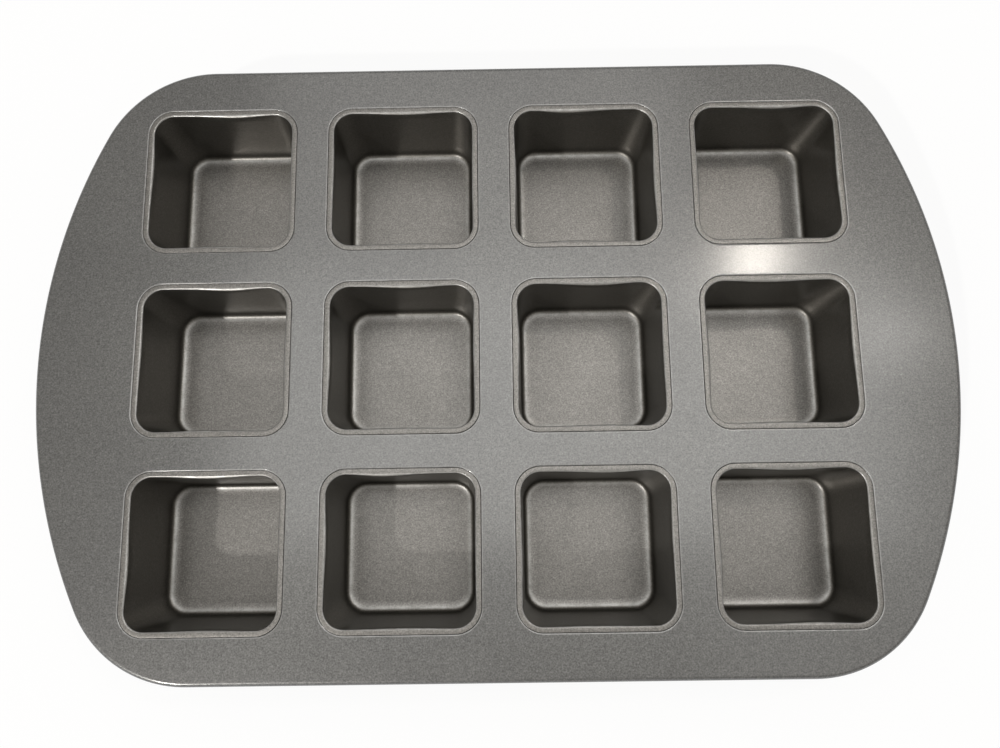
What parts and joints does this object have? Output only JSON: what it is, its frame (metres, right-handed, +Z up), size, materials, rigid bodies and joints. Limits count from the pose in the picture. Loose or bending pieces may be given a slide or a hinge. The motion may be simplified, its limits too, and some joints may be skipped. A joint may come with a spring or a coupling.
{
  "type": "brownie bar pan",
  "caption": "Coated steel baking pan with square tapered cups lock-seamed into a flat frame with bowed ends and a rolled rim.",
  "frame": {"origin": "middle of the pan at the undersides of the cups, on which it stands", "axes": "+X along the pan's long side, to the right as the picture shows it; +Y across it, to the far row; +Z up, out of the cups"},
  "size_m": [0.4036, 0.2738, 0.0405],
  "materials": {
    "frame_coating": "satin non-stick coating on steel",
    "cup_coating": "satin non-stick coating on steel",
    "rim_wire_steel": "drawn wire"
  },
  "bodies": {
    "root": {"frame_plate": "frame_coating", "rim_wire": "rim_wire_steel", "cup_r1_c1": "cup_coating", "cup_r1_c2": "cup_coating", "cup_r1_c3": "cup_coating", "cup_r1_c4": "cup_coating", "cup_r2_c1": "cup_coating", "cup_r2_c2": "cup_coating", "cup_r2_c3": "cup_coating", "cup_r2_c4": "cup_coating", "cup_r3_c1": "cup_coating", "cup_r3_c2": "cup_coating", "cup_r3_c3": "cup_coating", "cup_r3_c4": "cup_coating"}
  },
  "joints": []
}
